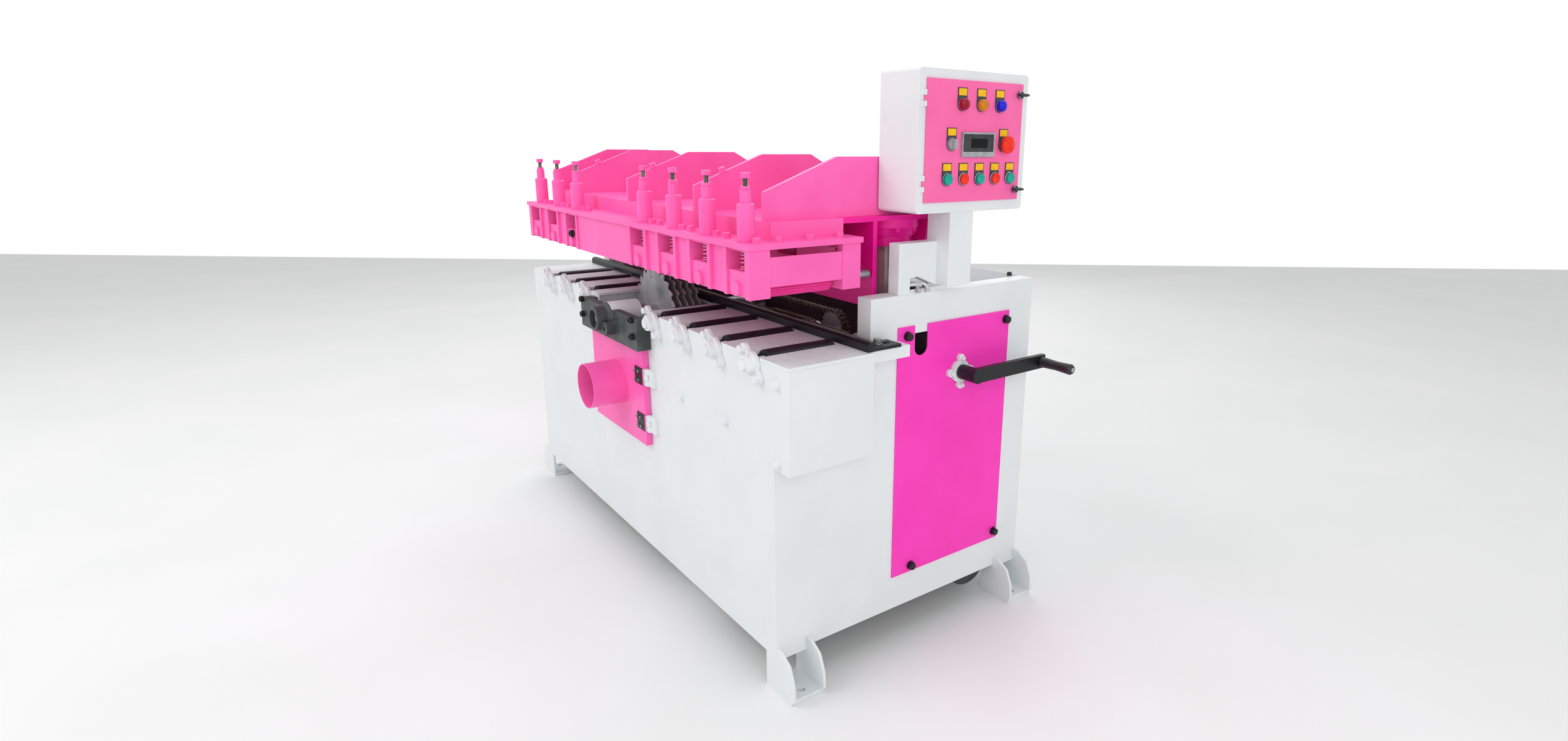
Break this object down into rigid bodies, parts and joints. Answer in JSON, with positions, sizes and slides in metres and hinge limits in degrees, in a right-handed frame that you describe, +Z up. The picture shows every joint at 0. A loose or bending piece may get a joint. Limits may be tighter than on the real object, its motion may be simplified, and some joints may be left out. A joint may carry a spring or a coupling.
{
  "type": "multi_rip_saw",
  "caption": "Multi rip saw: white sheet-metal cabinet with a gang of blades, powered feed rollers, a sprung pink pressure head on columns, crank lift, dust outlet and control box.",
  "frame": {"origin": "on the floor, at the centre of the four anchor holes", "axes": "+X along the feed to the crank and control end, -Y to the operator, +Z up"},
  "size_m": [1.852, 0.935, 1.408],
  "materials": {
    "white_paint": "satin",
    "pink_paint": "semi-gloss",
    "magenta_paint": "semi-gloss",
    "grey_paint": "satin",
    "ground_steel": "ground",
    "blade_steel": "polished",
    "dark_casting": "painted casting",
    "black_oxide": "satin black",
    "spring_steel": "oiled",
    "chain_steel": "oiled and rusty",
    "black_rubber": "matt",
    "cable_sheath": "matt",
    "black_plastic": "matt",
    "grey_plastic": "satin",
    "green_plastic": "gloss",
    "red_plastic": "gloss"
  },
  "bodies": {
    "frame": {"cabinet": "white_paint", "rear_cover": "grey_paint", "feet": "white_paint", "table_plates": "ground_steel", "end_doors": "pink_paint", "arbor_bearings": "dark_casting", "flange_bearings": "white_paint", "motors": "black_oxide", "drive_belts": "black_rubber", "feed_chains": "chain_steel", "columns": "ground_steel", "control_bracket": "white_paint", "control_box": "white_paint", "control_cables": "cable_sheath"},
    "fence": {"fence": "black_oxide"},
    "saw": {"saw_arbor": "ground_steel", "saw_blades": "blade_steel"},
    "motor_pulley": {"motor_pulley": "ground_steel"},
    "head": {"head_rails": "pink_paint", "head_bridge": "pink_paint", "rear_apron": "magenta_paint", "spring_posts": "pink_paint", "adjuster_screws": "ground_steel", "pressure_springs": "spring_steel"},
    "lift_screw": {"lift_screw": "ground_steel"},
    "crank": {"crank": "black_oxide"},
    "crank_grip": {"crank_grip": "black_plastic"},
    "chip_door": {"chip_door": "pink_paint"},
    "box_door": {"box_door": "pink_paint", "panel_fittings": "black_plastic"},
    "selector": {"selector_switch": "grey_plastic"},
    "estop": {"estop_button": "red_plastic"},
    "lower_1": {"lower_roller_1": "black_oxide"},
    "slide_1": {"slide_block_1": "pink_paint"},
    "upper_1": {"upper_roller_1": "pink_paint"},
    "lower_2": {"lower_roller_2": "black_oxide"},
    "slide_2": {"slide_block_2": "pink_paint"},
    "upper_2": {"upper_roller_2": "pink_paint"},
    "lower_3": {"lower_roller_3": "black_oxide"},
    "slide_3": {"slide_block_3": "pink_paint"},
    "upper_3": {"upper_roller_3": "pink_paint"},
    "lower_4": {"lower_roller_4": "black_oxide"},
    "slide_4": {"slide_block_4": "pink_paint"},
    "upper_4": {"upper_roller_4": "pink_paint"},
    "lower_5": {"lower_roller_5": "black_oxide"},
    "slide_5": {"slide_block_5": "pink_paint"},
    "upper_5": {"upper_roller_5": "pink_paint"},
    "lower_6": {"lower_roller_6": "black_oxide"},
    "slide_6": {"slide_block_6": "pink_paint"},
    "upper_6": {"upper_roller_6": "pink_paint"},
    "lower_7": {"lower_roller_7": "black_oxide"},
    "slide_7": {"slide_block_7": "pink_paint"},
    "upper_7": {"upper_roller_7": "pink_paint"},
    "button_1": {"push_button_1": "green_plastic"},
    "button_2": {"push_button_2": "red_plastic"},
    "button_3": {"push_button_3": "green_plastic"},
    "button_4": {"push_button_4": "red_plastic"},
    "button_5": {"push_button_5": "green_plastic"},
    "latch_1": {"box_latch_1": "black_plastic"},
    "latch_2": {"box_latch_2": "black_plastic"}
  },
  "joints": [
    {"name": "arbor_spin", "type": "hinge", "parent": "frame", "child": "saw", "pos_m": [-0.01, -0.41, 0.76], "axis": [0, 1, 0], "continuous": true},
    {"name": "motor_spin", "type": "hinge", "parent": "frame", "child": "motor_pulley", "pos_m": [0.33, 0.187, 0.225], "axis": [0, 1, 0], "continuous": true},
    {"name": "lower_feed_1", "type": "hinge", "parent": "frame", "child": "lower_1", "pos_m": [0.726, -0.41, 0.782], "axis": [0, 1, 0], "continuous": true},
    {"name": "lower_feed_2", "type": "hinge", "parent": "frame", "child": "lower_2", "pos_m": [0.558, -0.41, 0.782], "axis": [0, 1, 0], "continuous": true},
    {"name": "lower_feed_3", "type": "hinge", "parent": "frame", "child": "lower_3", "pos_m": [0.39, -0.41, 0.782], "axis": [0, 1, 0], "continuous": true},
    {"name": "lower_feed_4", "type": "hinge", "parent": "frame", "child": "lower_4", "pos_m": [0.222, -0.41, 0.782], "axis": [0, 1, 0], "continuous": true},
    {"name": "lower_feed_5", "type": "hinge", "parent": "frame", "child": "lower_5", "pos_m": [-0.265, -0.41, 0.782], "axis": [0, 1, 0], "continuous": true},
    {"name": "lower_feed_6", "type": "hinge", "parent": "frame", "child": "lower_6", "pos_m": [-0.433, -0.41, 0.782], "axis": [0, 1, 0], "continuous": true},
    {"name": "lower_feed_7", "type": "hinge", "parent": "frame", "child": "lower_7", "pos_m": [-0.601, -0.41, 0.782], "axis": [0, 1, 0], "continuous": true},
    {"name": "fence_slide", "type": "slide", "parent": "frame", "child": "fence", "axis": [0, 1, 0], "range_m": [-0.008, 0.008]},
    {"name": "crank_turn", "type": "hinge", "parent": "frame", "child": "crank", "pos_m": [0.804, 0.142, 0.694], "axis": [1, 0, 0], "range_deg": [-241, 4201]},
    {"name": "head_lift", "type": "slide", "parent": "frame", "child": "head", "axis": [0, 0, 1], "range_m": [-0.07, 0.004]},
    {"name": "screw_turn", "type": "hinge", "parent": "frame", "child": "lift_screw", "pos_m": [0.062, 0.142, 0.694], "axis": [0, 0, 1], "range_deg": [-4201, 241]},
    {"name": "grip_spin", "type": "hinge", "parent": "crank", "child": "crank_grip", "pos_m": [0.87, 0.382, 0.694], "axis": [1, 0, 0], "continuous": true},
    {"name": "press_1", "type": "slide", "parent": "head", "child": "slide_1", "axis": [0, 0, 1], "range_m": [0, 0.012], "stiffness_N_per_m": 12000, "springref_m": -0.008, "deforming": ["pressure_springs"]},
    {"name": "upper_feed_1", "type": "hinge", "parent": "slide_1", "child": "upper_1", "pos_m": [0.726, -0.41, 0.951], "axis": [0, 1, 0], "continuous": true},
    {"name": "press_2", "type": "slide", "parent": "head", "child": "slide_2", "axis": [0, 0, 1], "range_m": [0, 0.012], "stiffness_N_per_m": 12000, "springref_m": -0.008, "deforming": ["pressure_springs"]},
    {"name": "upper_feed_2", "type": "hinge", "parent": "slide_2", "child": "upper_2", "pos_m": [0.558, -0.41, 0.951], "axis": [0, 1, 0], "continuous": true},
    {"name": "press_3", "type": "slide", "parent": "head", "child": "slide_3", "axis": [0, 0, 1], "range_m": [0, 0.012], "stiffness_N_per_m": 12000, "springref_m": -0.008, "deforming": ["pressure_springs"]},
    {"name": "upper_feed_3", "type": "hinge", "parent": "slide_3", "child": "upper_3", "pos_m": [0.39, -0.41, 0.951], "axis": [0, 1, 0], "continuous": true},
    {"name": "press_4", "type": "slide", "parent": "head", "child": "slide_4", "axis": [0, 0, 1], "range_m": [0, 0.012], "stiffness_N_per_m": 12000, "springref_m": -0.008, "deforming": ["pressure_springs"]},
    {"name": "upper_feed_4", "type": "hinge", "parent": "slide_4", "child": "upper_4", "pos_m": [0.222, -0.41, 0.951], "axis": [0, 1, 0], "continuous": true},
    {"name": "press_5", "type": "slide", "parent": "head", "child": "slide_5", "axis": [0, 0, 1], "range_m": [0, 0.012], "stiffness_N_per_m": 12000, "springref_m": -0.008, "deforming": ["pressure_springs"]},
    {"name": "upper_feed_5", "type": "hinge", "parent": "slide_5", "child": "upper_5", "pos_m": [-0.265, -0.41, 0.951], "axis": [0, 1, 0], "continuous": true},
    {"name": "press_6", "type": "slide", "parent": "head", "child": "slide_6", "axis": [0, 0, 1], "range_m": [0, 0.012], "stiffness_N_per_m": 12000, "springref_m": -0.008, "deforming": ["pressure_springs"]},
    {"name": "upper_feed_6", "type": "hinge", "parent": "slide_6", "child": "upper_6", "pos_m": [-0.433, -0.41, 0.951], "axis": [0, 1, 0], "continuous": true},
    {"name": "press_7", "type": "slide", "parent": "head", "child": "slide_7", "axis": [0, 0, 1], "range_m": [0, 0.012], "stiffness_N_per_m": 12000, "springref_m": -0.008, "deforming": ["pressure_springs"]},
    {"name": "upper_feed_7", "type": "hinge", "parent": "slide_7", "child": "upper_7", "pos_m": [-0.601, -0.41, 0.951], "axis": [0, 1, 0], "continuous": true},
    {"name": "chip_door_swing", "type": "hinge", "parent": "frame", "child": "chip_door", "pos_m": [0.179, -0.42, 0.5], "axis": [0, 0, 1], "range_deg": [0, 105]},
    {"name": "box_door_swing", "type": "hinge", "parent": "frame", "child": "box_door", "pos_m": [0.8504, -0.042, 1.25], "axis": [0, 0, 1], "range_deg": [-110, 0]},
    {"name": "button_1_press", "type": "slide", "parent": "box_door", "child": "button_1", "axis": [-1, 0, 0], "range_m": [0, 0.0035], "stiffness_N_per_m": 600},
    {"name": "button_2_press", "type": "slide", "parent": "box_door", "child": "button_2", "axis": [-1, 0, 0], "range_m": [0, 0.0035], "stiffness_N_per_m": 600},
    {"name": "button_3_press", "type": "slide", "parent": "box_door", "child": "button_3", "axis": [-1, 0, 0], "range_m": [0, 0.0035], "stiffness_N_per_m": 600},
    {"name": "button_4_press", "type": "slide", "parent": "box_door", "child": "button_4", "axis": [-1, 0, 0], "range_m": [0, 0.0035], "stiffness_N_per_m": 600},
    {"name": "button_5_press", "type": "slide", "parent": "box_door", "child": "button_5", "axis": [-1, 0, 0], "range_m": [0, 0.0035], "stiffness_N_per_m": 600},
    {"name": "estop_press", "type": "slide", "parent": "box_door", "child": "estop", "axis": [-1, 0, 0], "range_m": [0, 0.005]},
    {"name": "selector_turn", "type": "hinge", "parent": "box_door", "child": "selector", "pos_m": [0.8514, 0.039, 1.248], "axis": [1, 0, 0], "range_deg": [-45, 45]},
    {"name": "latch_1_turn", "type": "hinge", "parent": "box_door", "child": "latch_1", "pos_m": [0.8514, 0.258, 1.362], "axis": [1, 0, 0], "range_deg": [0, 90]},
    {"name": "latch_2_turn", "type": "hinge", "parent": "box_door", "child": "latch_2", "pos_m": [0.8514, 0.258, 1.144], "axis": [1, 0, 0], "range_deg": [0, 90]}
  ],
  "couplings": [
    {"joint": "motor_spin", "follows": "arbor_spin", "ratio": 0.73333},
    {"joint": "lower_feed_2", "follows": "lower_feed_1", "ratio": 1},
    {"joint": "lower_feed_3", "follows": "lower_feed_1", "ratio": 1},
    {"joint": "lower_feed_4", "follows": "lower_feed_1", "ratio": 1},
    {"joint": "lower_feed_5", "follows": "lower_feed_1", "ratio": 1},
    {"joint": "lower_feed_6", "follows": "lower_feed_1", "ratio": 1},
    {"joint": "lower_feed_7", "follows": "lower_feed_1", "ratio": 1},
    {"joint": "upper_feed_2", "follows": "upper_feed_1", "ratio": 1},
    {"joint": "upper_feed_3", "follows": "upper_feed_1", "ratio": 1},
    {"joint": "upper_feed_4", "follows": "upper_feed_1", "ratio": 1},
    {"joint": "upper_feed_5", "follows": "upper_feed_1", "ratio": 1},
    {"joint": "upper_feed_6", "follows": "upper_feed_1", "ratio": 1},
    {"joint": "upper_feed_7", "follows": "upper_feed_1", "ratio": 1},
    {"joint": "crank_turn", "follows": "head_lift", "rad_per_m": -1047.2},
    {"joint": "screw_turn", "follows": "head_lift", "rad_per_m": 1047.2}
  ]
}
